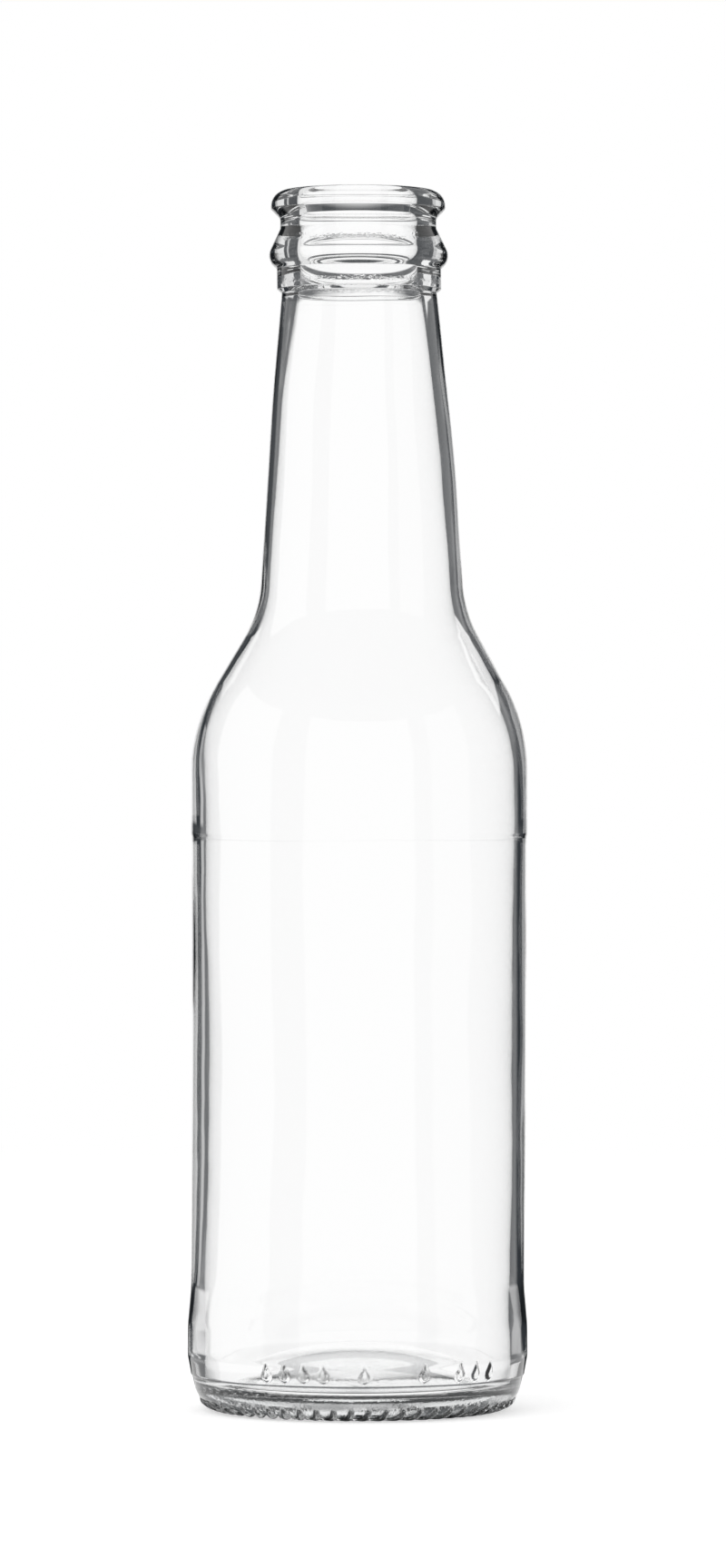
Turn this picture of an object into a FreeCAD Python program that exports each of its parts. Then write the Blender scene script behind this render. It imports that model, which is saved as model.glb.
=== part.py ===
"""Clear glass long-neck bottle for a single serving of tonic water, open and empty.

The bottle is one piece of moulded glass. It is made as a solid of revolution, from an outline that runs
round the section of the wall: down the outside from the lip to the heel, in under the base, and back up
the inside to the mouth. Slanted crescent ridges stand under the base, and a row of index beads stands on
the front of the heel.

Millimetres. +Z is up and is the bottle's axis. The origin is the middle of the base, on the plane that
the ridges stand on. The front of the bottle, with the beads, faces -Y.
"""

import math
import os

import FreeCAD
import Part

from FreeCAD import Vector

# Overall sizes.
total_height = 185.0
body_radius = 25.53
neck_length = 64.0  # from the lip down to where the neck meets the shoulder

# The finish, which takes the cap. Heights here are measured down from the lip.
bore_radius = 8.95
mouth_round = 0.9
lip_radius = 13.25
lip_round = 2.4
lip_depth = 2.9
lip_edge_round = 0.3
groove_radius = 11.88
groove_top_depth = 4.3
groove_bottom_depth = 5.85
groove_round = 1.2
bead_radius = 14.09  # where the two slopes of the bead would meet, before its nose is rounded
bead_depth = 10.45
bead_round = 2.3
collar_radius = 12.5
collar_top_depth = 11.95
collar_bottom_depth = 15.05
collar_round = 0.25
collar_chamfer = 0.6

# The neck and shoulder.
neck_top_radius = 11.8
neck_belly_radius = 13.95
neck_belly_depth = 38.0
neck_belly_round = 500.0
neck_foot_radius = 15.6
neck_foot_round = 18.3
shoulder_angle = 30.0
shoulder_round = 26.5

# The body. The label panel lies back a little between the shoulder band and the heel.
shoulder_band = 9.3
panel_recess = 0.12
panel_taper = 0.1
panel_edge = 0.5
heel_band_swell = 0.27
panel_bottom_height = 19.0
heel_band_top_height = 13.2
heel_band_bottom_height = 8.4
heel_band_round = 4.0

# The base below the mould's parting line.
parting_height = 5.5
parting_inset = 0.53  # from the heel band in to the parting line
parting_step = 0.22
parting_slope = 0.25
heel_taper_angle = 12.0
heel_round = 4.0
ridge_height = 0.45
bearing_inset = 7.13  # from the body's radius in to the inner edge of the bearing ring
bearing_round = 0.9
push_up_edge_width = 1.0
push_up_edge_rise = 1.3
push_up_rise = 3.0

# Glass thickness.
neck_wall = 1.85
shoulder_wall = 2.0
body_wall = 2.4
base_thickness = 6.5
bore_length = 12.5
bore_flare_length = 7.5

# The floor is a low dome. At its edge it turns down into a channel that runs round the foot of the wall.
floor_dome_rise = 3.6
floor_edge_inset = 4.5  # from the wall in to the edge of the dome
floor_edge_round = 5.0
floor_flank_angle = 52.0
inner_heel_round = 1.6
dome_share = 0.85  # of a dome's run from its centre to its edge, the share that is curved
flare_share = 0.9  # of the bore's flare, the share that is curved

# Crescent ridges under the base. Each has two curved flanks that meet at its tips.
ridge_count = 56
ridge_length = 5.6
ridge_width = 1.4
ridge_bow = 1.7
ridge_ring_inset = 3.7  # from the body's radius in to the middle of the ridges
ridge_slant_angle = 38.0
ridge_flank_angle = 20.0

# Index beads on the heel, in slots of equal pitch. A slot that isn't listed has no bead.
bead_pitch_angle = 6.87
first_bead_angle = -32.0
bead_slots = (0, 1, 2, 3, 5, 8, 10, 11, 12)
index_bead_radius = 0.72
index_bead_height = 6.75
index_bead_tail = 1.5
index_bead_sink = 0.47


# Sizes that follow from those above.
heel_band_radius = body_radius + heel_band_swell
parting_radius = heel_band_radius - parting_inset
bearing_inner_radius = body_radius - bearing_inset
push_up_edge_radius = bearing_inner_radius - push_up_edge_width
ridge_ring_radius = body_radius - ridge_ring_inset
inner_radius = body_radius - body_wall


def rounded_path(corners):
    """Edges along corners of (radius, height, rounding), with a tangent arc at each rounded corner."""
    points = [Vector(r, 0, z) for r, z, _ in corners]
    edges = []
    start = points[0]
    for i in range(1, len(points) - 1):
        before = (points[i - 1] - points[i]).normalize()
        after = (points[i + 1] - points[i]).normalize()
        rounding = corners[i][2]
        half_angle = before.getAngle(after) / 2
        straight = math.pi / 2 - half_angle < 1e-6
        if rounding > 0 and not straight:
            reach = rounding / math.tan(half_angle)
            middle_reach = rounding / math.sin(half_angle) - rounding
            bisector = (before + after).normalize()
            arc_start = points[i] + before * reach
            arc_middle = points[i] + bisector * middle_reach
            arc_end = points[i] + after * reach
            edges.append(Part.makeLine(start, arc_start))
            edges.append(Part.Arc(arc_start, arc_middle, arc_end).toShape())
            start = arc_end
        else:
            edges.append(Part.makeLine(start, points[i]))
            start = points[i]
    edges.append(Part.makeLine(start, points[-1]))
    return edges


def shoulder_line_height(radius, wall=0.0):
    """Height at which the shoulder's slope, moved in by wall, has this radius."""
    slope = math.tan(math.radians(shoulder_angle))
    moved_in = wall / math.cos(math.radians(shoulder_angle))
    neck_foot_height = total_height - neck_length
    return neck_foot_height - (radius + moved_in - neck_foot_radius) / slope


def outside_corners():
    """The outside of the bottle, from the lip down to the edge under the heel."""
    top = total_height
    shoulder_height = shoulder_line_height(body_radius)
    half_turn = math.tan(math.radians(shoulder_angle / 2))
    panel_top_height = shoulder_height - shoulder_round * half_turn - shoulder_band
    panel_radius = body_radius - panel_recess
    return [
        (lip_radius, top, lip_round),
        (lip_radius, top - lip_depth, lip_edge_round),
        (groove_radius, top - groove_top_depth, groove_round),
        (groove_radius, top - groove_bottom_depth, groove_round),
        (bead_radius, top - bead_depth, bead_round),
        (collar_radius, top - collar_top_depth, collar_round),
        (collar_radius, top - collar_bottom_depth, collar_round),
        (neck_top_radius, top - collar_bottom_depth - collar_chamfer, collar_round),
        (neck_belly_radius, top - neck_belly_depth, neck_belly_round),
        (neck_foot_radius, top - neck_length, neck_foot_round),
        (body_radius, shoulder_height, shoulder_round),
        (body_radius, panel_top_height, panel_edge),
        (panel_radius, panel_top_height - panel_edge, panel_edge),
        (panel_radius - panel_taper, panel_bottom_height, shoulder_round),
        (heel_band_radius, heel_band_top_height, shoulder_round),
        (heel_band_radius, heel_band_bottom_height, heel_band_round),
        (parting_radius, parting_height, 0.0),
        (parting_radius - parting_step, parting_height - parting_slope, 0.0),
        (heel_edge_radius(), ridge_height, heel_round),
    ]


def dome_corner(edge_radius, rise, centre_height):
    """The rounded corner that makes a low dome, half way from its centre to its edge."""
    corner_radius = edge_radius / 2
    slope = math.atan(rise / corner_radius)
    return (corner_radius, centre_height, dome_share * corner_radius / math.tan(slope / 2))


def underside_corners():
    """The underside, from the ring that carries the ridges in to the axis."""
    centre_height = ridge_height + push_up_rise
    return [
        (bearing_inner_radius, ridge_height, bearing_round),
        (push_up_edge_radius, ridge_height + push_up_edge_rise, bearing_round),
        dome_corner(push_up_edge_radius, push_up_rise - push_up_edge_rise, centre_height),
        (0.0, centre_height, 0.0),
    ]


def floor_corners():
    """The inside of the base, from the middle of the floor out to the foot of the wall."""
    floor_height = ridge_height + push_up_rise + base_thickness
    edge_radius = inner_radius - floor_edge_inset
    edge_height = floor_height - floor_dome_rise
    channel_height = edge_height - floor_edge_inset * math.tan(math.radians(floor_flank_angle))
    return [
        (0.0, floor_height, 0.0),
        dome_corner(edge_radius, floor_dome_rise, floor_height),
        (edge_radius, edge_height, floor_edge_round),
        (inner_radius, channel_height, inner_heel_round),
    ]


def bore_flare_round():
    """Rounding at both ends of the flare, which makes the bore widen smoothly into the neck."""
    widening = neck_top_radius - neck_wall - bore_radius
    slope = math.atan(widening / bore_flare_length)
    return flare_share * bore_flare_length / 2 / math.tan(slope / 2)


def inside_corners():
    """The inside, from the middle of the floor up the wall to the mouth."""
    top = total_height
    neck_top_height = top - bore_length - bore_flare_length
    neck_belly_height = top - neck_belly_depth
    neck_foot_inner = neck_foot_radius - neck_wall
    return [
        *floor_corners(),
        (inner_radius, shoulder_line_height(inner_radius, shoulder_wall), shoulder_round - body_wall),
        (neck_foot_inner, shoulder_line_height(neck_foot_inner, shoulder_wall), neck_foot_round + neck_wall),
        (neck_belly_radius - neck_wall, neck_belly_height, neck_belly_round),
        (neck_top_radius - neck_wall, neck_top_height, bore_flare_round()),
        (bore_radius, top - bore_length, bore_flare_round()),
        (bore_radius, top, mouth_round),
    ]


def glass_body():
    """The bottle as one turned solid, without ridges and beads."""
    crest_radius = (bore_radius + mouth_round + lip_radius - lip_round) / 2
    mouth_middle = (crest_radius, total_height, 0.0)
    corners = [mouth_middle, *outside_corners(), *underside_corners(), *inside_corners(), mouth_middle]
    section = Part.Face(Part.Wire(rounded_path(corners)))
    return section.revolve(Vector(0, 0, 0), Vector(0, 0, 1), 360)


def crescent_wire(height, spread):
    """Outline of a ridge at a height, with its flanks and tips moved out by spread."""
    reach = ridge_length / 2 + spread
    tips = (Vector(-reach, 0, height), Vector(reach, 0, height))
    outer_bow = Vector(0, ridge_bow + spread, height)
    inner_bow = Vector(0, ridge_bow - ridge_width - spread, height)
    outer_flank = Part.Arc(tips[0], outer_bow, tips[1]).toShape()
    inner_flank = Part.Arc(tips[1], inner_bow, tips[0]).toShape()
    return Part.Wire([outer_flank, inner_flank])


def crescent_block():
    """A block over one ridge on the +X side. It widens upward, from the base plane into the glass."""
    top = ridge_height + heel_round / 2
    spread = top * math.tan(math.radians(ridge_flank_angle))
    block = Part.makeLoft([crescent_wire(0, 0), crescent_wire(top, spread)], True, True)
    block.rotate(Vector(0, 0, 0), Vector(0, 0, 1), ridge_slant_angle)
    block.translate(Vector(ridge_ring_radius, 0, 0))
    return block


def heel_edge_radius():
    """Radius at which the heel's slope, carried on down, meets the plane of the bearing ring."""
    drop = parting_height - parting_slope - ridge_height
    return parting_radius - parting_step - drop * math.tan(math.radians(heel_taper_angle))


def ridge_ring():
    """All the ridges, evenly spaced round the base, with crests at an even height over ring and heel."""
    blocks = []
    for i in range(ridge_count):
        block = crescent_block()
        block.rotate(Vector(0, 0, 0), Vector(0, 0, 1), 360 * i / ridge_count)
        blocks.append(block)
    taper = math.radians(heel_taper_angle)
    crest_edge = heel_edge_radius() + ridge_height * (1 / math.cos(taper) - math.tan(taper))
    top = parting_height
    corners = [
        (bearing_inner_radius, top, 0.0),
        (bearing_inner_radius, 0.0, 0.0),
        (crest_edge, 0.0, heel_round + ridge_height),
        (crest_edge + top * math.tan(taper), top, 0.0),
        (bearing_inner_radius, top, 0.0),
    ]
    section = Part.Face(Part.Wire(rounded_path(corners)))
    crest_ring = section.revolve(Vector(0, 0, 0), Vector(0, 0, 1), 360)
    return crest_ring.common(Part.makeCompound(blocks))


def index_bead(angle):
    """One bead: a ball with a cone above it that runs out on the glass. The angle is from the front."""
    radius = heel_band_radius - index_bead_sink
    turn = math.radians(angle)
    centre = Vector(radius * math.sin(turn), -radius * math.cos(turn), index_bead_height)
    ball = Part.makeSphere(index_bead_radius, centre)
    cone_half_angle = math.asin(index_bead_radius / (index_bead_radius + index_bead_tail))
    foot_rise = index_bead_radius * math.sin(cone_half_angle)
    foot_radius = index_bead_radius * math.cos(cone_half_angle)
    tip_rise = index_bead_radius + index_bead_tail
    cone = Part.makeCone(foot_radius, 0, tip_rise - foot_rise, centre + Vector(0, 0, foot_rise))
    return ball.fuse(cone)


def bottle():
    """The whole bottle as one solid."""
    angles = [first_bead_angle + bead_pitch_angle * slot for slot in bead_slots]
    beads = [index_bead(angle) for angle in angles]
    whole = glass_body().multiFuse([ridge_ring(), *beads])
    return whole.removeSplitter()


def main():
    os.makedirs("parts", exist_ok=True)
    shape = bottle()
    shape.Solids[0].exportStep("parts/bottle.step")
    box = shape.optimalBoundingBox()
    print(f"solids {len(shape.Solids)}, valid {shape.isValid()}, volume {shape.Volume / 1000:.1f} cm3")
    print(f"size {box.XLength:.2f} x {box.YLength:.2f} x {box.ZLength:.2f} mm, lowest point {box.ZMin:.3f}")


main()
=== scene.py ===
"""Looks of a clear glass long-neck drink bottle, open and empty.

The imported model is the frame. One finely turned piece of glass stands for its node: the same outside, with
the small things that light shows up in real glass, which are the crescent ridges under the base, the beads
on the heel, the mould's parting line and a wall whose thickness wanders. Sizes are in millimetres until a
mesh is made. The front of the bottle faces -Y.
"""

import enum
import logging
import math
from dataclasses import dataclass
from typing import Any, Callable, Optional, Sequence, Union

import bpy
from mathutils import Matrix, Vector

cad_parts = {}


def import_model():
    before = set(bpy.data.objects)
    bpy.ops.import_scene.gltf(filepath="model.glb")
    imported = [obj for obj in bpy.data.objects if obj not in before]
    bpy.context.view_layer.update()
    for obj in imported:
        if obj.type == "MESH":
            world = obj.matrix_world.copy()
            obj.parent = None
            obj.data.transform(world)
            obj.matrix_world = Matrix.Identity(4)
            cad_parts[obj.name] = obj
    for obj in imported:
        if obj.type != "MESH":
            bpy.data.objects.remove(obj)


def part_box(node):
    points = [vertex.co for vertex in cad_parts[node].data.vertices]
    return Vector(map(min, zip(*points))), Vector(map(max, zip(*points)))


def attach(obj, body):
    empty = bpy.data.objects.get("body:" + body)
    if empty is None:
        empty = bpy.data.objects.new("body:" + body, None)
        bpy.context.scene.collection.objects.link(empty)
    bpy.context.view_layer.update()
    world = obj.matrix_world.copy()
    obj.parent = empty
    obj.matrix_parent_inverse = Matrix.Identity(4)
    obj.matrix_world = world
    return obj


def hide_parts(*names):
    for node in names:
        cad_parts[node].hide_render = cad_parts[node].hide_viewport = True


LOG = logging.getLogger("bottle")
MM = 0.001
ARC_STEP = math.radians(20)  # the most that a small rounding turns from one row of a mesh to the next
CHORD_ERROR = 0.006  # mm that a row of the mesh may miss a curve by
LONGEST_RUN = 4.0  # mm between rows on a straight wall
FINE_STEP = 0.25  # mm between rows where ridges and beads stand
NO_TURN = 1e-5  # half of a corner's turn, in radians, below which it is as good as straight
TINY = 1e-9  # mm, so that nothing is divided by zero
FAN = 4  # vertices of a detailed ring to each one of a smooth ring
ONCE = 0.5  # a ray's depth is above this when it has bounced or crossed at least once
IN_WALL = 2.5  # a ray that has crossed fewer faces than this is still in the wall that it entered
WHITE = (1.0, 1.0, 1.0, 1.0)
Socket = bpy.types.NodeSocket
NodeTree = bpy.types.NodeTree
Corner = tuple[float, float, float]
Point = tuple[float, float]


def linear(hex_colour: str) -> tuple[float, float, float, float]:
    """Turn an sRGB hex colour into linear light.

    Args:
        hex_colour: Six hex digits after a #, such as "#ffffff".

    Returns:
        Red, green, blue and an alpha of 1.
    """
    parts = [int(hex_colour[i : i + 2], 16) / 255 for i in (1, 3, 5)]
    red, green, blue = [c / 12.92 if c <= 0.04045 else ((c + 0.055) / 1.055) ** 2.4 for c in parts]
    return red, green, blue, 1.0


def add_node(
    tree: NodeTree,
    kind: str,
    inputs: Optional[dict[Union[int, str], Any]] = None,
    **settings: Any,
) -> bpy.types.Node:
    """Add a node with its settings and links.

    Args:
        tree: The node tree to add to.
        kind: The node's type, such as "ShaderNodeMath".
        inputs: For each input, by name or number, a socket to link from or a plain value.
        **settings: The node's own properties, such as operation="ADD".

    Returns:
        The new node.
    """
    node = tree.nodes.new(kind)
    for name, value in settings.items():
        setattr(node, name, value)
    for key, value in (inputs or {}).items():
        if isinstance(value, Socket):
            tree.links.new(value, node.inputs[key])
        else:
            node.inputs[key].default_value = value
    return node


def add_window(tree: NodeTree, value: Socket, begin: Sequence[float], end: Sequence[float]) -> Socket:
    """Add the nodes that are 1 between two soft edges and 0 outside them.

    Args:
        tree: The node tree to add to.
        value: The value that the edges are measured on.
        begin: Where the first edge starts and stops rising.
        end: Where the second edge starts and stops falling.

    Returns:
        The socket with the share.
    """
    shares = []
    for (low, high), outside, inside in ((begin, 0.0, 1.0), (end, 1.0, 0.0)):
        ends = {"Value": value, 1: low, 2: high, 3: outside, 4: inside}
        edge = add_node(tree, "ShaderNodeMapRange", ends, interpolation_type="SMOOTHSTEP")
        shares.append(edge.outputs[0])
    return add_node(tree, "ShaderNodeMath", {0: shares[0], 1: shares[1]}, operation="MULTIPLY").outputs[0]


def smooth_step(low: float, high: float, value: float) -> float:
    """Rise smoothly from 0 at low to 1 at high."""
    share = min(max((value - low) / (high - low), 0.0), 1.0)
    return share * share * (3 - 2 * share)


def rounded_outline(corners: Sequence[Corner], step: float) -> list[Point]:
    """Sample an outline of straight runs with a tangent arc at each rounded corner.

    Args:
        corners: Radius, height and rounding of each corner, in mm.
        step: The most that lies between samples, in mm.

    Returns:
        Radius and height of each sample, in mm.
    """
    samples = [Vector(corners[0][:2])]

    def run_to(end: Vector) -> None:
        """Add even steps along a straight run."""
        start = samples[-1]
        count = max(1, math.ceil((end - start).length / step))
        samples.extend(start.lerp(end, i / count) for i in range(1, count + 1))

    for before, corner, after in zip(corners, corners[1:], corners[2:]):
        point = Vector(corner[:2])
        back = (Vector(before[:2]) - point).normalized()
        ahead = (Vector(after[:2]) - point).normalized()
        half_angle = back.angle(ahead) / 2
        if corner[2] <= 0 or math.pi / 2 - half_angle < NO_TURN:
            run_to(point)
            continue
        reach = corner[2] / math.tan(half_angle)
        centre = point + (back + ahead).normalized() * (corner[2] / math.sin(half_angle))
        spoke = point + back * reach - centre
        run_to(centre + spoke)
        turn = math.pi - 2 * half_angle
        count = max(math.ceil(turn * corner[2] / step), math.ceil(turn / ARC_STEP))
        sense = 1 if spoke.y * back.x - spoke.x * back.y > 0 else -1
        for i in range(1, count + 1):
            angle = sense * turn * i / count
            x = spoke.x * math.cos(angle) - spoke.y * math.sin(angle)
            y = spoke.x * math.sin(angle) + spoke.y * math.cos(angle)
            samples.append(centre + Vector((x, y)))
    run_to(Vector(corners[-1][:2]))
    return [(sample.x, sample.y) for sample in samples]


def off_chord(start: Point, end: Point, point: Point) -> float:
    """Distance of a point from the line through start and end."""
    along = (end[0] - start[0], end[1] - start[1])
    across = (point[0] - start[0]) * along[1] - (point[1] - start[1]) * along[0]
    return abs(across) / max(math.hypot(*along), TINY)


def thinned(samples: Sequence[Point], keep_all: Callable[[Point], bool]) -> list[Point]:
    """Leave out the samples that a straight chord stands in for.

    Args:
        samples: The outline.
        keep_all: Says where every sample stays.

    Returns:
        The samples that are left.
    """
    kept = [samples[0]]
    first = 0
    for last in range(2, len(samples)):
        chord = (samples[first], samples[last])
        bulge = max(off_chord(*chord, point) for point in samples[first + 1 : last])
        if bulge > CHORD_ERROR or math.dist(*chord) > LONGEST_RUN or keep_all(samples[last - 1]):
            first = last - 1
            kept.append(samples[first])
    return kept + [samples[-1]]


class Grain(enum.Enum):
    """How many vertices lie round the bottle in one row of its mesh."""

    SMOOTH = 196
    DETAILED = FAN * SMOOTH


@dataclass(frozen=True)
class CapFinish:
    """The ringed top of the neck that takes the cap. Depths are measured down from the lip."""

    bore_radius: float = 8.95
    bore_length: float = 12.5
    bore_flare: float = 7.5
    flare_share: float = 0.9
    mouth_round: float = 0.9
    lip_radius: float = 13.25
    lip_round: float = 2.4
    lip_depth: float = 2.9
    lip_edge_round: float = 0.3
    groove_radius: float = 11.88
    groove_depths: tuple[float, float] = (4.3, 5.85)
    groove_round: float = 1.2
    bead_radius: float = 14.09
    bead_depth: float = 10.45
    bead_round: float = 2.3
    collar_radius: float = 12.5
    collar_depths: tuple[float, float] = (11.95, 15.05)
    collar_round: float = 0.25
    collar_chamfer: float = 0.6

    def crest_radius(self) -> float:
        """Radius of the highest ring of the lip."""
        return (self.bore_radius + self.mouth_round + self.lip_radius - self.lip_round) / 2

    def outside(self, top: float) -> list[Corner]:
        """Corners of the outside, from the collar up to the lip.

        Args:
            top: Height of the lip.

        Returns:
            Corners of radius, height and rounding.
        """
        return [
            (self.collar_radius, top - self.collar_depths[1], self.collar_round),
            (self.collar_radius, top - self.collar_depths[0], self.collar_round),
            (self.bead_radius, top - self.bead_depth, self.bead_round),
            (self.groove_radius, top - self.groove_depths[1], self.groove_round),
            (self.groove_radius, top - self.groove_depths[0], self.groove_round),
            (self.lip_radius, top - self.lip_depth, self.lip_edge_round),
            (self.lip_radius, top, self.lip_round),
            (self.crest_radius(), top, 0.0),
        ]

    def flare_round(self, neck_bore: float) -> float:
        """Rounding at both ends of the flare, where the bore widens into the neck's bore."""
        slope = math.atan((neck_bore - self.bore_radius) / self.bore_flare)
        return self.flare_share * self.bore_flare / 2 / math.tan(slope / 2)

    def inside(self, top: float, neck_bore: float) -> list[Corner]:
        """Corners of the bore, from the mouth down to where it widens into the neck.

        Args:
            top: Height of the lip.
            neck_bore: Inner radius of the neck where the flare ends.

        Returns:
            Corners of radius, height and rounding.
        """
        return [
            (self.bore_radius, top, self.mouth_round),
            (self.bore_radius, top - self.bore_length, self.flare_round(neck_bore)),
        ]


@dataclass(frozen=True)
class Neck:
    """The long neck, which swells a little on its way down to the shoulder."""

    top_radius: float = 11.8
    belly_radius: float = 13.95
    belly_depth: float = 38.0
    belly_round: float = 500.0
    foot_radius: float = 15.6
    foot_depth: float = 64.0
    foot_round: float = 18.3
    wall: float = 1.85

    def bore(self) -> float:
        """Inner radius at the top of the neck."""
        return self.top_radius - self.wall

    def outside(self, top: float, finish: CapFinish) -> list[Corner]:
        """Corners of the outside, from the shoulder up to the collar."""
        join = top - finish.collar_depths[1] - finish.collar_chamfer
        return [
            (self.foot_radius, top - self.foot_depth, self.foot_round),
            (self.belly_radius, top - self.belly_depth, self.belly_round),
            (self.top_radius, join, finish.collar_round),
        ]

    def inside(self, top: float, finish: CapFinish) -> list[Corner]:
        """Corners of the inside below the bore, downward, without the foot."""
        join = top - finish.bore_length - finish.bore_flare
        return [
            (self.bore(), join, finish.flare_round(self.bore())),
            (self.belly_radius - self.wall, top - self.belly_depth, self.belly_round),
        ]


@dataclass(frozen=True)
class Body:
    """The shoulder and the straight body, with the label panel set back between two bands."""

    radius: float = 25.53
    wall: float = 2.4
    shoulder_wall: float = 2.0
    shoulder_angle: float = 30.0
    shoulder_round: float = 26.5
    shoulder_band: float = 9.3
    panel_recess: float = 0.12
    panel_taper: float = 0.1
    panel_edge: float = 0.5
    panel_bottom: float = 19.0
    heel_band_swell: float = 0.27
    heel_band: tuple[float, float] = (8.4, 13.2)
    heel_band_round: float = 4.0

    def slope_height(self, radius: float, top: float, neck: Neck, wall: float = 0.0) -> float:
        """Height at which the shoulder's slope, moved in by wall, has this radius."""
        angle = math.radians(self.shoulder_angle)
        moved_in = wall / math.cos(angle)
        return top - neck.foot_depth - (radius + moved_in - neck.foot_radius) / math.tan(angle)

    def outside(self, top: float, neck: Neck) -> list[Corner]:
        """Corners of the outside, from the heel band up to the shoulder."""
        shoulder = self.slope_height(self.radius, top, neck)
        half_turn = math.tan(math.radians(self.shoulder_angle / 2))
        panel_top = shoulder - self.shoulder_round * half_turn - self.shoulder_band
        panel = self.radius - self.panel_recess
        swollen = self.radius + self.heel_band_swell
        return [
            (swollen, self.heel_band[0], self.heel_band_round),
            (swollen, self.heel_band[1], self.shoulder_round),
            (panel - self.panel_taper, self.panel_bottom, self.shoulder_round),
            (panel, panel_top - self.panel_edge, self.panel_edge),
            (self.radius, panel_top, self.panel_edge),
            (self.radius, shoulder, self.shoulder_round),
        ]

    def inside(self, top: float, neck: Neck) -> list[Corner]:
        """Corners of the inside, from the neck's foot down to the straight wall."""
        foot = neck.foot_radius - neck.wall
        inner = self.radius - self.wall
        foot_height = self.slope_height(foot, top, neck, self.shoulder_wall)
        shoulder = self.slope_height(inner, top, neck, self.shoulder_wall)
        return [
            (foot, foot_height, neck.foot_round + neck.wall),
            (inner, shoulder, self.shoulder_round - self.wall),
        ]


@dataclass(frozen=True)
class Base:
    """The heel below the parting line, the ring that bears the ridges, the push-up and the floor."""

    parting_height: float = 5.5
    parting_inset: float = 0.53
    parting_step: float = 0.22
    parting_slope: float = 0.25
    parting_round: float = 0.08
    heel_taper: float = 12.0
    heel_round: float = 4.0
    bearing_inset: float = 7.13
    bearing_round: float = 0.9
    push_up_edge: tuple[float, float] = (1.0, 1.3)
    push_up_rise: float = 3.0
    thickness: float = 6.5
    floor_rise: float = 3.6
    floor_edge_inset: float = 4.5
    floor_edge_round: float = 5.0
    flank_angle: float = 52.0
    inner_heel_round: float = 1.6
    dome_share: float = 0.85

    def dome_corner(self, edge_radius: float, rise: float, centre: float) -> Corner:
        """The rounded corner that makes a low dome, half way from its centre to its edge."""
        corner_radius = edge_radius / 2
        slope = math.atan(rise / corner_radius)
        return corner_radius, centre, self.dome_share * corner_radius / math.tan(slope / 2)

    def outside(self, body: Body, ridge_height: float) -> list[Corner]:
        """Corners of the underside and heel, from the axis out and up to the parting line.

        Args:
            body: The body that the heel belongs to.
            ridge_height: How far the ridges hold the bearing ring off the table.

        Returns:
            Corners of radius, height and rounding.
        """
        parting = body.radius + body.heel_band_swell - self.parting_inset
        drop = self.parting_height - self.parting_slope - ridge_height
        heel = parting - self.parting_step - drop * math.tan(math.radians(self.heel_taper))
        bearing = body.radius - self.bearing_inset
        centre = ridge_height + self.push_up_rise
        edge_radius = bearing - self.push_up_edge[0]
        return [
            (0.0, centre, 0.0),
            self.dome_corner(edge_radius, self.push_up_rise - self.push_up_edge[1], centre),
            (edge_radius, ridge_height + self.push_up_edge[1], self.bearing_round),
            (bearing, ridge_height, self.bearing_round),
            (heel, ridge_height, self.heel_round),
            (parting - self.parting_step, self.parting_height - self.parting_slope, self.parting_round),
            (parting, self.parting_height, self.parting_round),
        ]

    def inside(self, body: Body, ridge_height: float) -> list[Corner]:
        """Corners of the floor, from the wall in to the axis."""
        floor = ridge_height + self.push_up_rise + self.thickness
        inner = body.radius - body.wall
        edge_radius = inner - self.floor_edge_inset
        edge = floor - self.floor_rise
        channel = edge - self.floor_edge_inset * math.tan(math.radians(self.flank_angle))
        return [
            (inner, channel, self.inner_heel_round),
            (edge_radius, edge, self.floor_edge_round),
            self.dome_corner(edge_radius, self.floor_rise, floor),
            (0.0, floor, 0.0),
        ]


@dataclass(frozen=True)
class CrescentRidges:
    """The slanted crescents that the bottle stands on, which keep hot glass off the conveyor.

    A crescent sinks away where it is narrower than the share tip_width of its full width. A lower
    flank_power makes its flanks steeper.
    """

    count: int = 56
    height: float = 0.45
    length: float = 5.6
    width: float = 1.4
    bow: float = 1.7
    inset: float = 3.7
    slant: float = 38.0
    tip_width: float = 0.5
    flank_power: float = 0.6

    def arc(self, bow: float, along: float) -> float:
        """Offset from the chord of an arc with this bow, at a distance along from its middle."""
        half = self.length / 2
        radius = (half * half + bow * bow) / (2 * bow)
        return bow - radius + math.sqrt(radius * radius - along * along)

    def lift_at(self, radius: float, turn: float, body: Body) -> float:
        """How far the glass stands out at a place under the base.

        Args:
            radius: Distance from the axis, in mm.
            turn: Angle round the axis from +X, in radians.
            body: The body, which places the ring of ridges.

        Returns:
            The height of the ridge there, in mm.
        """
        pitch = 2 * math.pi / self.count
        nearest = round(turn / pitch)
        slant = math.radians(self.slant)
        lift = 0.0
        for place in (nearest - 1, nearest, nearest + 1):
            angle = turn - place * pitch
            x = radius * math.cos(angle) - (body.radius - self.inset)
            y = radius * math.sin(angle)
            along = x * math.cos(slant) + y * math.sin(slant)
            across = y * math.cos(slant) - x * math.sin(slant)
            if abs(along) >= self.length / 2:
                continue
            outer = self.arc(self.bow, along)
            inner = self.arc(self.bow - self.width, along)
            share = 2 * (across - inner) / (outer - inner) - 1
            if abs(share) < 1:
                tip = smooth_step(0.0, self.tip_width, (outer - inner) / self.width)
                lift = max(lift, self.height * tip * (1 - share * share) ** self.flank_power)
        return lift


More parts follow.
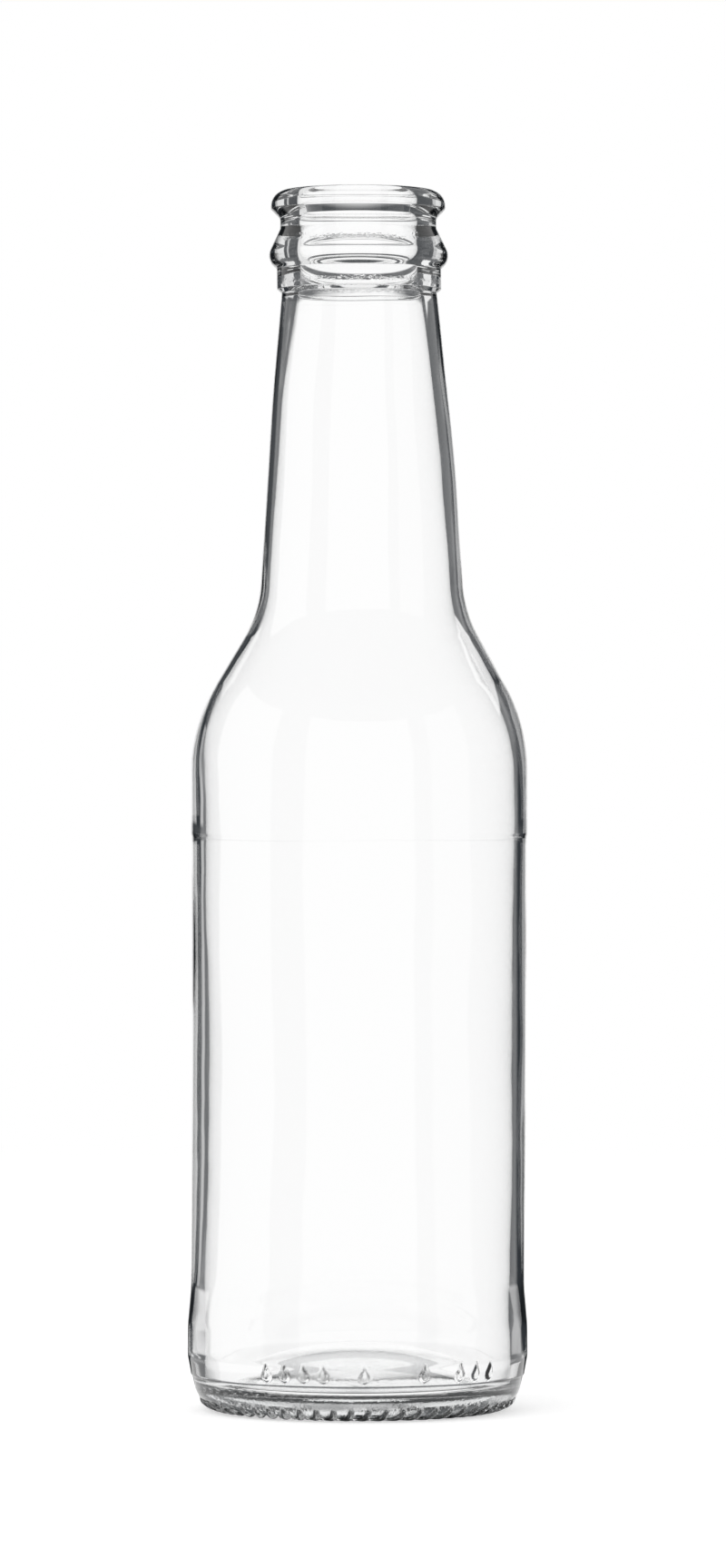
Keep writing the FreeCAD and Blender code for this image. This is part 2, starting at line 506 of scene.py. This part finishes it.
@dataclass(frozen=True)
class IndexBeads:
    """The row of small drop-shaped beads on the front of the heel, on an even pitch with gaps."""

    pitch: float = 6.87
    first: float = -32.0
    slots: tuple[int, ...] = (0, 1, 2, 3, 5, 8, 10, 11, 12)
    radius: float = 0.8
    height: float = 6.75
    tail: float = 1.2
    lift: float = 0.3
    edge: float = 0.25

    def lift_at(self, height: float, turn: float, body: Body) -> float:
        """How far the glass stands out at a place on the heel.

        Args:
            height: Height of the place, in mm.
            turn: Angle round the axis from +X, in radians.
            body: The body, whose radius turns the angle into a distance.

        Returns:
            The height of the bead there, in mm.
        """
        rise = height - self.height
        if not -self.radius < rise < self.radius + self.tail:
            return 0.0
        tip = self.radius + self.tail
        shoulder = self.radius * self.radius / tip
        if rise <= shoulder:
            half_width = math.sqrt(max(self.radius**2 - rise**2, 0.0))
        else:
            widest = math.sqrt(self.radius**2 - shoulder**2)
            half_width = widest * (tip - rise) / (tip - shoulder)
        from_front = math.degrees(turn) + 90.0
        lift = 0.0
        for slot in self.slots:
            angle = (from_front - self.first - self.pitch * slot + 180) % 360 - 180
            across = math.radians(angle) * body.radius
            if abs(across) < half_width:
                lift = self.lift * smooth_step(0.0, self.edge, half_width - abs(across))
        return lift


@dataclass(frozen=True)
class GlassDrift:
    """How blown glass departs from true: it leans, its bore is off centre, and its wall is thin in places.

    Lean, bore shift and thinning are pairs of height and value in mm. Each swell of the inner wall has its
    waves round the bottle, its mm of height to a radian, its phase and its share of the ripple. The inside
    is true at the floor, near its middle and at the mouth.
    """

    lean: tuple[Point, ...] = (
        (14, 0.0),
        (62, 0.25),
        (97, 0.25),
        (123, 0.65),
        (140, 0.65),
        (160, 0.34),
        (185, 0.07),
    )
    bore_shift: tuple[Point, ...] = ((0, 0.0), (45, 0.17), (92, 0.0), (116, -0.36), (150, -0.25), (168, 0.0))
    thinning: tuple[Point, ...] = ((60, 0.0), (88, 0.27), (122, 0.37), (148, 0.2), (168, 0.0))
    ripple: float = 0.045
    swells: tuple[tuple[float, float, float, float], ...] = (
        (2, 11.0, 0.0, 1.0),
        (3, -7.0, 1.3, 0.6),
        (5, 4.6, 0.4, 0.4),
    )
    true_floor: Point = (8, 24)
    true_mouth: Point = (166, 174)
    true_middle: Point = (0, 6)

    @staticmethod
    def along(knots: Sequence[Point], height: float) -> float:
        """Value at a height of a curve that runs smoothly from knot to knot."""
        for (low, before), (high, after) in zip(knots, knots[1:]):
            if height <= high:
                return before + (after - before) * smooth_step(low, high, height)
        return knots[-1][1]

    def ripple_at(self, height: float, turn: float) -> float:
        """Small swell of the inner wall at a height and angle, in mm."""
        swell = sum(
            share * math.sin(waves * turn + height / run + phase) for waves, run, phase, share in self.swells
        )
        return self.ripple * swell

    def share_at(self, radius: float, height: float) -> float:
        """How much of the inside's drift a place has, from 0 where the glass is true to 1."""
        share = smooth_step(*self.true_floor, height) * (1 - smooth_step(*self.true_mouth, height))
        return share * smooth_step(*self.true_middle, radius)


class TurnedMesh:
    """A closed mesh made ring by ring about the Z axis, where a ring may have four times as many vertices."""

    def __init__(self) -> None:
        """Start with no rings."""
        self.points: list[Vector] = []
        self.faces: list[tuple[int, ...]] = []
        self.last_ring: list[int] = []

    def add_pole(self, point: Vector) -> None:
        """Add the single vertex that starts or ends the mesh, joined to the ring before it."""
        pole = len(self.points)
        self.points.append(point)
        ring = self.last_ring
        self.faces.extend((ring[i - 1], ring[i], pole) for i in range(len(ring)))
        self.last_ring = [pole]

    def add_ring(self, points: Sequence[Vector]) -> None:
        """Add a ring and the faces between it and the one before.

        Args:
            points: The ring's points in order, as many as the last ring or four times more or fewer.
        """
        first = len(self.points)
        ring = list(range(first, first + len(points)))
        self.points.extend(points)
        before = self.last_ring
        if len(before) == 1:
            self.faces.extend((before[0], ring[i], ring[i - 1]) for i in range(len(ring)))
        elif len(before) == len(ring):
            self.faces.extend((before[i - 1], before[i], ring[i], ring[i - 1]) for i in range(len(ring)))
        else:
            self.stitch(before, ring)
        self.last_ring = ring

    def stitch(self, below: Sequence[int], above: Sequence[int]) -> None:
        """Join two rings, one with four vertices to each one of the other."""
        flip = len(below) > len(above)
        coarse, fine = (above, below) if flip else (below, above)
        for i, corner in enumerate(coarse):
            ahead = coarse[(i + 1) % len(coarse)]
            steps = [fine[(FAN * i + j) % len(fine)] for j in range(FAN + 1)]
            fans = [(corner, steps[1], steps[0]), (corner, steps[2], steps[1]), (corner, ahead, steps[2])]
            fans += [(ahead, steps[3], steps[2]), (ahead, steps[4], steps[3])]
            self.faces.extend(tuple(reversed(fan)) if flip else fan for fan in fans)

    def piece(self, name: str) -> bpy.types.Object:
        """Make the object, in metres and shaded smooth.

        Args:
            name: The object's name.

        Returns:
            The new object, linked to the scene.
        """
        mesh = bpy.data.meshes.new(name)
        mesh.from_pydata([point * MM for point in self.points], [], self.faces)
        mesh.shade_smooth()
        made = bpy.data.objects.new(name, mesh)
        bpy.context.scene.collection.objects.link(made)
        return made


@dataclass(frozen=True)
class DrinkBottle:
    """The whole bottle: one skin of glass, outside and inside."""

    height: float
    finish: CapFinish = CapFinish()
    neck: Neck = Neck()
    body: Body = Body()
    base: Base = Base()
    ridges: CrescentRidges = CrescentRidges()
    beads: IndexBeads = IndexBeads()
    drift: GlassDrift = GlassDrift()
    detail_height: float = 9.4

    def outside(self) -> list[Point]:
        """Outline of the outside, from the middle of the underside to the crest of the lip."""
        corners = self.base.outside(self.body, self.ridges.height)
        corners += self.body.outside(self.height, self.neck)
        corners += self.neck.outside(self.height, self.finish)
        corners += self.finish.outside(self.height)
        return thinned(rounded_outline(corners, FINE_STEP), self.is_detailed)

    def inside(self) -> list[Point]:
        """Outline of the inside, from the crest of the lip to the middle of the floor."""
        corners = [(self.finish.crest_radius(), self.height, 0.0)]
        corners += self.finish.inside(self.height, self.neck.bore())
        corners += self.neck.inside(self.height, self.finish)
        corners += self.body.inside(self.height, self.neck)
        corners += self.base.inside(self.body, self.ridges.height)
        return thinned(rounded_outline(corners, FINE_STEP), lambda point: False)

    def axis_at(self, height: float) -> float:
        """Sideways place of the bottle's axis at a height, in mm."""
        return self.drift.along(self.drift.lean, height)

    def is_detailed(self, point: Point) -> bool:
        """Whether ridges or beads may stand at a place on the outside."""
        return point[0] > self.body.radius - self.base.bearing_inset and point[1] < self.detail_height

    def lift_at(self, point: Point, turn: float) -> float:
        """How far ridges and beads stand out of the outside, in mm."""
        if point[1] < self.base.parting_height:
            return self.ridges.lift_at(point[0], turn, self.body)
        return self.beads.lift_at(point[1], turn, self.body)

    def outer_ring(self, before: Point, here: Point, after: Point) -> list[Vector]:
        """One ring of the outside.

        Args:
            before: The place on the outline before this one.
            here: Radius and height of the ring.
            after: The place on the outline after it.

        Returns:
            The ring's points, in mm.
        """
        detailed = self.is_detailed(here)
        grain = Grain.DETAILED if detailed else Grain.SMOOTH
        along = Vector((after[0] - before[0], after[1] - before[1])).normalized()
        axis = self.axis_at(here[1])
        ring = []
        for i in range(grain.value):
            turn = 2 * math.pi * i / grain.value
            lift = self.lift_at(here, turn) if detailed else 0.0
            radius = here[0] + lift * along.y
            height = here[1] - lift * along.x
            ring.append(Vector((axis + radius * math.cos(turn), radius * math.sin(turn), height)))
        return ring

    def inner_ring(self, here: Point) -> list[Vector]:
        """One ring of the inside, off the axis and rippled where the glass was blown."""
        blown = self.drift.share_at(*here)
        axis = self.axis_at(here[1]) + self.drift.along(self.drift.bore_shift, here[1]) * blown
        thinned_by = self.drift.along(self.drift.thinning, here[1])
        ring = []
        for i in range(Grain.SMOOTH.value):
            turn = 2 * math.pi * i / Grain.SMOOTH.value
            radius = here[0] + (thinned_by + self.drift.ripple_at(here[1], turn)) * blown
            ring.append(Vector((axis + radius * math.cos(turn), radius * math.sin(turn), here[1])))
        return ring

    def build(self) -> bpy.types.Object:
        """Make the glass as one closed mesh."""
        mesh = TurnedMesh()
        outside = self.outside()
        inside = self.inside()
        mesh.add_pole(Vector((self.axis_at(outside[0][1]), 0, outside[0][1])))
        for before, here, after in zip(outside, outside[1:], outside[2:] + inside[1:2]):
            mesh.add_ring(self.outer_ring(before, here, after))
        for here in inside[1:-1]:
            mesh.add_ring(self.inner_ring(here))
        mesh.add_pole(Vector((self.axis_at(inside[-1][1]), 0, inside[-1][1])))
        return mesh.piece("bottle_glass")


@dataclass(frozen=True)
class FlintGlass:
    """Clear soda-lime glass, blown in a mould and fire-polished.

    The eye sees through it to the room behind, and reads its shape from the dark and bright lines where its
    edges bend the room's light. It is nearly colourless, a little blue-grey only where it is looked at edge
    on. Each rough band is a lowest and highest height in mm and the share of the mould's grain that it took:
    the stippled bearing ring, and two fine stippled lines in the finish. The grain is drawn coarser than a
    mould's real one, so that it shows.
    """

    ior: float = 1.52
    roughness: float = 0.0
    tint: str = "#e9f2f2"
    tint_density: float = 2.5
    wave_size: float = 9.0
    wave_depth: float = 0.03
    mould_grain: float = 0.45
    mould_depth: float = 0.05
    rough_bands: tuple[tuple[float, float, float], ...] = (
        (-2.0, 4.1, 0.35),
        (170.9, 171.3, 0.7),
        (176.9, 177.4, 0.8),
    )
    band_edge: float = 0.15

    def material(self) -> bpy.types.Material:
        """Make the glass material."""
        material = bpy.data.materials.new("flint_glass_fire_polished")
        material.use_nodes = True
        tree = material.node_tree
        tree.nodes.clear()
        place = add_node(tree, "ShaderNodeNewGeometry").outputs["Position"]
        height = add_node(tree, "ShaderNodeSeparateXYZ", {0: place}).outputs["Z"]
        rough: Any = 0.0
        for low, high, depth in self.rough_bands:
            edges = [[(end - self.band_edge) * MM, (end + self.band_edge) * MM] for end in (low, high)]
            window = add_window(tree, height, *edges)
            band = add_node(tree, "ShaderNodeMath", {0: window, 1: depth}, operation="MULTIPLY").outputs[0]
            rough = add_node(tree, "ShaderNodeMath", {0: rough, 1: band}, operation="MAXIMUM").outputs[0]
        waves = add_node(
            tree,
            "ShaderNodeTexNoise",
            {"Vector": place, "Scale": 1 / (self.wave_size * MM), "Detail": 1.0},
        ).outputs[0]
        grain = add_node(
            tree,
            "ShaderNodeTexNoise",
            {"Vector": place, "Scale": 1 / (self.mould_grain * MM), "Detail": 2.0},
        ).outputs[0]
        wave_bump = add_node(
            tree,
            "ShaderNodeBump",
            {"Height": waves, "Strength": 1.0, "Distance": self.wave_depth * MM},
        ).outputs[0]
        bump = add_node(
            tree,
            "ShaderNodeBump",
            {"Height": grain, "Strength": rough, "Distance": self.mould_depth * MM, "Normal": wave_bump},
        ).outputs[0]
        shader = add_node(
            tree,
            "ShaderNodeBsdfPrincipled",
            {
                "Base Color": WHITE,
                "Roughness": self.roughness,
                "IOR": self.ior,
                "Transmission Weight": 1.0,
                "Normal": bump,
            },
        )
        tint = add_node(
            tree,
            "ShaderNodeVolumeAbsorption",
            {"Color": linear(self.tint), "Density": self.tint_density},
        )
        add_node(
            tree,
            "ShaderNodeOutputMaterial",
            {"Surface": shader.outputs[0], "Volume": tint.outputs[0]},
        )
        return material


@dataclass(frozen=True)
class PalePanel:
    """A pale panel of the studio, as the edges of the glass see it.

    The direction of its middle is from +X, and its half width, bottom and top are angles too, all in degrees.
    """

    direction: float
    half_width: float
    bottom: float
    top: float
    tone: float


@dataclass(frozen=True)
class BrightField:
    """A bright-field set for glass: white behind, pale panels at the sides and dark between them.

    What is seen straight through the glass is the white backdrop. Light that turned inside the wall comes
    from the panels or from the dark between them, which draws the edges. Each dark gap has two soft edges in
    degrees. The gap is above the backdrop for light that has passed a wall, the rim gap is higher and for
    light still in the wall, and the high gap is for light that turned further in. The sheen gap is measured
    towards +Y, behind the bottle, and darkens what the outside of the glass mirrors there.
    """

    panels: tuple[PalePanel, ...] = (
        PalePanel(96.5, 14.5, -8.0, 3.4, 0.8),
        PalePanel(134.0, 14.0, -10.0, -5.0, 0.7),
        PalePanel(131.0, 18.0, -60.0, -10.0, 0.7),
        PalePanel(47.0, 9.0, -60.0, -5.0, 0.35),
        PalePanel(95.0, 14.0, -89.0, -12.0, 0.9),
        PalePanel(104.0, 8.0, 12.8, 30.0, 0.5),
        PalePanel(78.0, 8.0, -2.5, 6.0, 0.5),
        PalePanel(124.0, 2.2, -4.5, 3.4, 0.5),
        PalePanel(178.0, 26.0, -40.0, 30.0, 0.75),
        PalePanel(270.0, 40.0, -40.0, 30.0, 0.75),
        PalePanel(340.0, 16.0, -40.0, 30.0, 0.5),
        PalePanel(116.0, 16.0, 14.5, 30.0, 0.75),
        PalePanel(60.0, 14.0, 12.5, 30.0, 0.9),
        PalePanel(80.0, 60.0, 4.0, 12.0, 0.04),
    )
    edge_softness: float = 3.0
    level_softness: float = 0.8
    gap: tuple[Point, Point] = ((10.5, 14.0), (23.0, 28.0))
    rim_gap: tuple[Point, Point] = ((24.5, 27.5), (55.0, 65.0))
    high_gap: tuple[Point, Point] = ((20.0, 23.0), (30.0, 34.0))
    dark: str = "#33373b"
    sheen_gap: tuple[Point, Point] = ((45.0, 53.0), (70.0, 76.0))
    ambient: float = 0.8

    def group(self) -> NodeTree:
        """Make the node group that turns a direction into the light that a ray of glass finds there."""
        tree = bpy.data.node_groups.new("bright_field", "ShaderNodeTree")
        tree.interface.new_socket("Direction", in_out="INPUT", socket_type="NodeSocketVector")
        tree.interface.new_socket("Color", in_out="OUTPUT", socket_type="NodeSocketColor")
        entry = add_node(tree, "NodeGroupInput").outputs[0]
        direction = add_node(tree, "ShaderNodeVectorMath", {0: entry}, operation="NORMALIZE").outputs[0]
        axes = add_node(tree, "ShaderNodeSeparateXYZ", {0: direction}).outputs
        level = add_node(tree, "ShaderNodeCombineXYZ", {0: axes[0], 1: axes[1]}).outputs[0]
        compass = add_node(tree, "ShaderNodeVectorMath", {0: level}, operation="NORMALIZE").outputs[0]
        path = add_node(tree, "ShaderNodeLightPath").outputs
        crossed = path["Transmission Depth"]
        entered = add_node(tree, "ShaderNodeMath", {0: crossed, 1: ONCE}, operation="GREATER_THAN").outputs[0]
        in_wall = add_node(tree, "ShaderNodeMath", {0: crossed, 1: IN_WALL}, operation="LESS_THAN").outputs[0]
        past_wall = add_node(tree, "ShaderNodeMath", {0: 1.0, 1: in_wall}, operation="SUBTRACT").outputs[0]
        mirrored = {0: path["Glossy Depth"], 1: ONCE}
        turned = add_node(tree, "ShaderNodeMath", mirrored, operation="GREATER_THAN").outputs[0]

        dark = linear(self.dark)
        pattern = {0: self.panel_pattern(tree, compass, axes[2]), 6: dark, 7: WHITE}
        edges = add_node(tree, "ShaderNodeMix", pattern, data_type="RGBA").outputs[2]
        high = {0: self.gap_share(tree, axes[2], self.high_gap), 6: WHITE, 7: dark}
        deeper = add_node(tree, "ShaderNodeMix", high, data_type="RGBA").outputs[2]
        by_wall = {0: in_wall, 6: deeper, 7: edges}
        turned_inside = add_node(tree, "ShaderNodeMix", by_wall, data_type="RGBA").outputs[2]

        parts = []
        for gap, where in ((self.gap, past_wall), (self.rim_gap, in_wall)):
            share = {0: self.gap_share(tree, axes[2], gap), 1: where}
            parts.append(add_node(tree, "ShaderNodeMath", share, operation="MULTIPLY").outputs[0])
        gaps = add_node(tree, "ShaderNodeMath", {0: parts[0], 1: parts[1]}, operation="ADD").outputs[0]
        backdrop = {0: gaps, 6: WHITE, 7: dark}
        straight = add_node(tree, "ShaderNodeMix", backdrop, data_type="RGBA").outputs[2]
        by_turn = {0: turned, 6: straight, 7: turned_inside}
        inside = add_node(tree, "ShaderNodeMix", by_turn, data_type="RGBA").outputs[2]

        mirror = {0: self.gap_share(tree, axes[1], self.sheen_gap), 6: WHITE, 7: dark}
        sheen = add_node(tree, "ShaderNodeMix", mirror, data_type="RGBA").outputs[2]
        by_entry = {0: entered, 6: sheen, 7: inside}
        seen = add_node(tree, "ShaderNodeMix", by_entry, data_type="RGBA").outputs[2]
        add_node(tree, "NodeGroupOutput", {0: seen})
        return tree

    def gap_share(self, tree: NodeTree, part: Socket, gap: tuple[Point, Point]) -> Socket:
        """Add the nodes that are 1 in a band of directions and 0 outside it.

        Args:
            tree: The node tree to add to.
            part: The direction's part along the axis that the angles rise towards.
            gap: Where the band begins and ends, each a soft edge between two angles in degrees.

        Returns:
            The socket with the share.
        """
        begin, end = [[math.sin(math.radians(angle)) for angle in edge] for edge in gap]
        return add_window(tree, part, begin, end)

    def panel_pattern(self, tree: NodeTree, compass: Socket, up: Socket) -> Socket:
        """Add the nodes that give each panel's tone in its own window of directions, and 0 elsewhere."""
        pattern: Optional[Socket] = None
        for panel in self.panels:
            angle = math.radians(panel.direction)
            middle = (math.cos(angle), math.sin(angle), 0.0)
            near = add_node(tree, "ShaderNodeVectorMath", {0: compass, 1: middle}, operation="DOT_PRODUCT")
            outer = math.cos(math.radians(panel.half_width + self.edge_softness / 2))
            inner = math.cos(math.radians(panel.half_width - self.edge_softness / 2))
            ends = {"Value": near.outputs["Value"], 1: outer, 2: inner}
            across = add_node(tree, "ShaderNodeMapRange", ends, interpolation_type="SMOOTHSTEP").outputs[0]
            soft = self.level_softness
            span = ((panel.bottom - soft, panel.bottom + soft), (panel.top - soft, panel.top + soft))
            window = self.gap_share(tree, up, span)
            share = add_node(tree, "ShaderNodeMath", {0: across, 1: window}, operation="MULTIPLY").outputs[0]
            toned = {0: share, 1: panel.tone}
            share = add_node(tree, "ShaderNodeMath", toned, operation="MULTIPLY").outputs[0]
            if pattern is not None:
                both = {0: pattern, 1: share}
                share = add_node(tree, "ShaderNodeMath", both, operation="MAXIMUM").outputs[0]
            pattern = share
        return pattern

    def light_world(self, group: NodeTree) -> bpy.types.World:
        """Make the world: white to the camera, one even tone to the card, and the panels to the glass."""
        world = bpy.data.worlds.new("studio")
        world.use_nodes = True
        tree = world.node_tree
        tree.nodes.clear()
        direction = add_node(tree, "ShaderNodeTexCoord").outputs["Generated"]
        panels = add_node(tree, "ShaderNodeGroup", node_tree=group)
        tree.links.new(direction, panels.inputs[0])
        path = add_node(tree, "ShaderNodeLightPath").outputs
        spread = {0: path["Diffuse Depth"], 1: ONCE}
        scattered = add_node(tree, "ShaderNodeMath", spread, operation="GREATER_THAN")
        to_card = {0: scattered.outputs[0], 6: panels.outputs[0], 7: (self.ambient,) * 3 + (1.0,)}
        colour = add_node(tree, "ShaderNodeMix", to_card, data_type="RGBA").outputs[2]
        to_camera = {0: path["Is Camera Ray"], 6: colour, 7: WHITE}
        colour = add_node(tree, "ShaderNodeMix", to_camera, data_type="RGBA").outputs[2]
        background = add_node(tree, "ShaderNodeBackground", {"Color": colour, "Strength": 1.0})
        add_node(tree, "ShaderNodeOutputWorld", {"Surface": background.outputs[0]})
        return world


@dataclass(frozen=True)
class StudioFloor:
    """The matt white sweep that the bottle stands on. It stays a hair below the ridges.

    Its radius and the fade to pure white are in metres, and its drop below the ridges, the ring of painted
    contact shadow under the heel and the height that it is seen from are in mm. The lift is a glow that the
    camera alone sees. With the light on the card it comes to a little more than white near the bottle.
    """

    radius: float = 3.0
    sides: int = 96
    fade: Point = (0.25, 0.8)
    drop: float = 0.05
    colour: str = "#e6e6e6"
    lift: float = 0.45
    painted_shadow_colour: str = "#1d2022"
    ring: tuple[Point, Point] = ((15.3, 17.6), (20.5, 26.0))
    seen_from: float = 12.0

    def build(self, field_group: NodeTree) -> bpy.types.Object:
        """Make the floor as a disc, with the material that the glass and the camera see."""
        mesh = bpy.data.meshes.new("floor")
        turns = [2 * math.pi * i / self.sides for i in range(self.sides)]
        rim = [Vector((math.cos(turn), math.sin(turn), 0)) for turn in turns]
        points = [point * self.radius - Vector((0, 0, self.drop * MM)) for point in rim]
        mesh.from_pydata(points, [], [tuple(range(self.sides))])
        floor = bpy.data.objects.new("floor", mesh)
        bpy.context.scene.collection.objects.link(floor)
        mesh.materials.append(self.material(field_group))
        return floor

    def material(self, field_group: NodeTree) -> bpy.types.Material:
        """Matt white card. To glass it glows like the panels, with a painted contact shadow under the heel."""
        material = bpy.data.materials.new("matt_white_card")
        material.use_nodes = True
        tree = material.node_tree
        tree.nodes.clear()
        place = add_node(tree, "ShaderNodeNewGeometry").outputs["Position"]
        reach = add_node(tree, "ShaderNodeVectorMath", {0: place}, operation="LENGTH").outputs["Value"]
        path = add_node(tree, "ShaderNodeLightPath").outputs
        # Painted light: to glass the floor glows with the studio's light pattern, as seen from above the heel,
        # in place of being lit.
        heel = (0.0, 0.0, self.seen_from * MM)
        offset = {0: place, 1: heel}
        from_heel = add_node(tree, "ShaderNodeVectorMath", offset, operation="SUBTRACT").outputs[0]
        panels = add_node(tree, "ShaderNodeGroup", node_tree=field_group)
        tree.links.new(from_heel, panels.inputs[0])
        # Painted contact shadow: a dark colour fills a ring on the floor under the heel, for light still in
        # the glass's wall.
        inner, outer = [[edge * MM for edge in side] for side in self.ring]
        ring = add_window(tree, reach, inner, outer)
        crossed = {0: path["Transmission Depth"], 1: IN_WALL}
        in_wall = add_node(tree, "ShaderNodeMath", crossed, operation="LESS_THAN").outputs[0]
        shadow_share = add_node(tree, "ShaderNodeMath", {0: ring, 1: in_wall}, operation="MULTIPLY").outputs[0]
        painted_contact_shadow = {0: shadow_share, 6: panels.outputs[0], 7: linear(self.painted_shadow_colour)}
        seen = add_node(tree, "ShaderNodeMix", painted_contact_shadow, data_type="RGBA").outputs[2]
        lift = {0: path["Is Camera Ray"], 1: self.lift}
        lifted = add_node(tree, "ShaderNodeMath", lift, operation="MULTIPLY")
        card = add_node(tree, "ShaderNodeBsdfDiffuse", {"Color": linear(self.colour)})
        glow = add_node(tree, "ShaderNodeEmission", {"Strength": lifted.outputs[0]})
        to_camera = add_node(tree, "ShaderNodeAddShader", {0: card.outputs[0], 1: glow.outputs[0]})
        ends = {"Value": reach, 1: self.fade[0], 2: self.fade[1]}
        far = add_node(tree, "ShaderNodeMapRange", ends, interpolation_type="SMOOTHSTEP").outputs[0]
        white = add_node(tree, "ShaderNodeEmission", {"Strength": 1.0})
        faded = {0: far, 1: to_camera.outputs[0], 2: white.outputs[0]}
        to_camera = add_node(tree, "ShaderNodeMixShader", faded)
        to_glass = add_node(tree, "ShaderNodeEmission", {"Color": seen, "Strength": 1.0})
        bounces = add_node(
            tree,
            "ShaderNodeMath",
            {0: path["Transmission Depth"], 1: path["Glossy Depth"]},
            operation="ADD",
        )
        depth = {0: bounces.outputs[0], 1: ONCE}
        by_glass = add_node(tree, "ShaderNodeMath", depth, operation="GREATER_THAN")
        surface = add_node(
            tree,
            "ShaderNodeMixShader",
            {0: by_glass.outputs[0], 1: to_camera.outputs[0], 2: to_glass.outputs[0]},
        )
        add_node(tree, "ShaderNodeOutputMaterial", {"Surface": surface.outputs[0]})
        return material


@dataclass(frozen=True)
class Softbox:
    """A large soft lamp above and to the left, which lays the faint shadow on the floor."""

    place: tuple[float, float, float] = (-0.5, -0.5, 1.1)
    size: float = 0.9
    power: float = 3.0

    def build(self) -> bpy.types.Object:
        """Make the lamp, aimed at the bottle and unseen by camera and glass."""
        light = bpy.data.lights.new("softbox", "AREA")
        light.size = self.size
        light.energy = self.power
        lamp = bpy.data.objects.new("softbox", light)
        bpy.context.scene.collection.objects.link(lamp)
        lamp.location = self.place
        lamp.rotation_euler = (-Vector(self.place)).to_track_quat("-Z", "Y").to_euler()
        lamp.visible_camera = False
        lamp.visible_glossy = False
        lamp.visible_transmission = False
        return lamp


@dataclass(frozen=True)
class StudioCamera:
    """A long lens, level, a little above the middle of the bottle."""

    distance: float = 1.10
    height: float = 0.0949
    aside: float = 0.00082
    lens: float = 166.4
    clip: Point = (0.05, 20.0)

    def build(self) -> bpy.types.Object:
        """Make the camera, looking along +Y, and make it the scene's."""
        data = bpy.data.cameras.new("camera")
        data.lens = self.lens
        data.clip_start, data.clip_end = self.clip
        camera = bpy.data.objects.new("camera", data)
        bpy.context.scene.collection.objects.link(camera)
        camera.location = (self.aside, -self.distance, self.height)
        camera.rotation_euler = (math.pi / 2, 0, 0)
        bpy.context.scene.camera = camera
        return camera


def main() -> None:
    """Build the bottle round its frame, and the studio round the bottle."""
    logging.basicConfig(level=logging.INFO, format="%(name)s: %(message)s")
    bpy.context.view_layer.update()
    low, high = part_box("bottle")
    bottle = DrinkBottle(height=round(high.z / MM, 3))
    glass = bottle.build()
    glass.data.materials.append(FlintGlass().material())
    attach(glass, "root")
    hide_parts("bottle")
    LOG.info("%s: %d faces", glass.name, len(glass.data.polygons))

    studio = BrightField()
    group = studio.group()
    bpy.context.scene.world = studio.light_world(group)
    floor = StudioFloor().build(group)
    Softbox().build()
    StudioCamera().build()
    bpy.context.scene.view_settings.view_transform = "Standard"
    LOG.info("studio: %d panels, floor, softbox and camera", len(studio.panels))


if __name__ == "__main__":
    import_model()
    main()
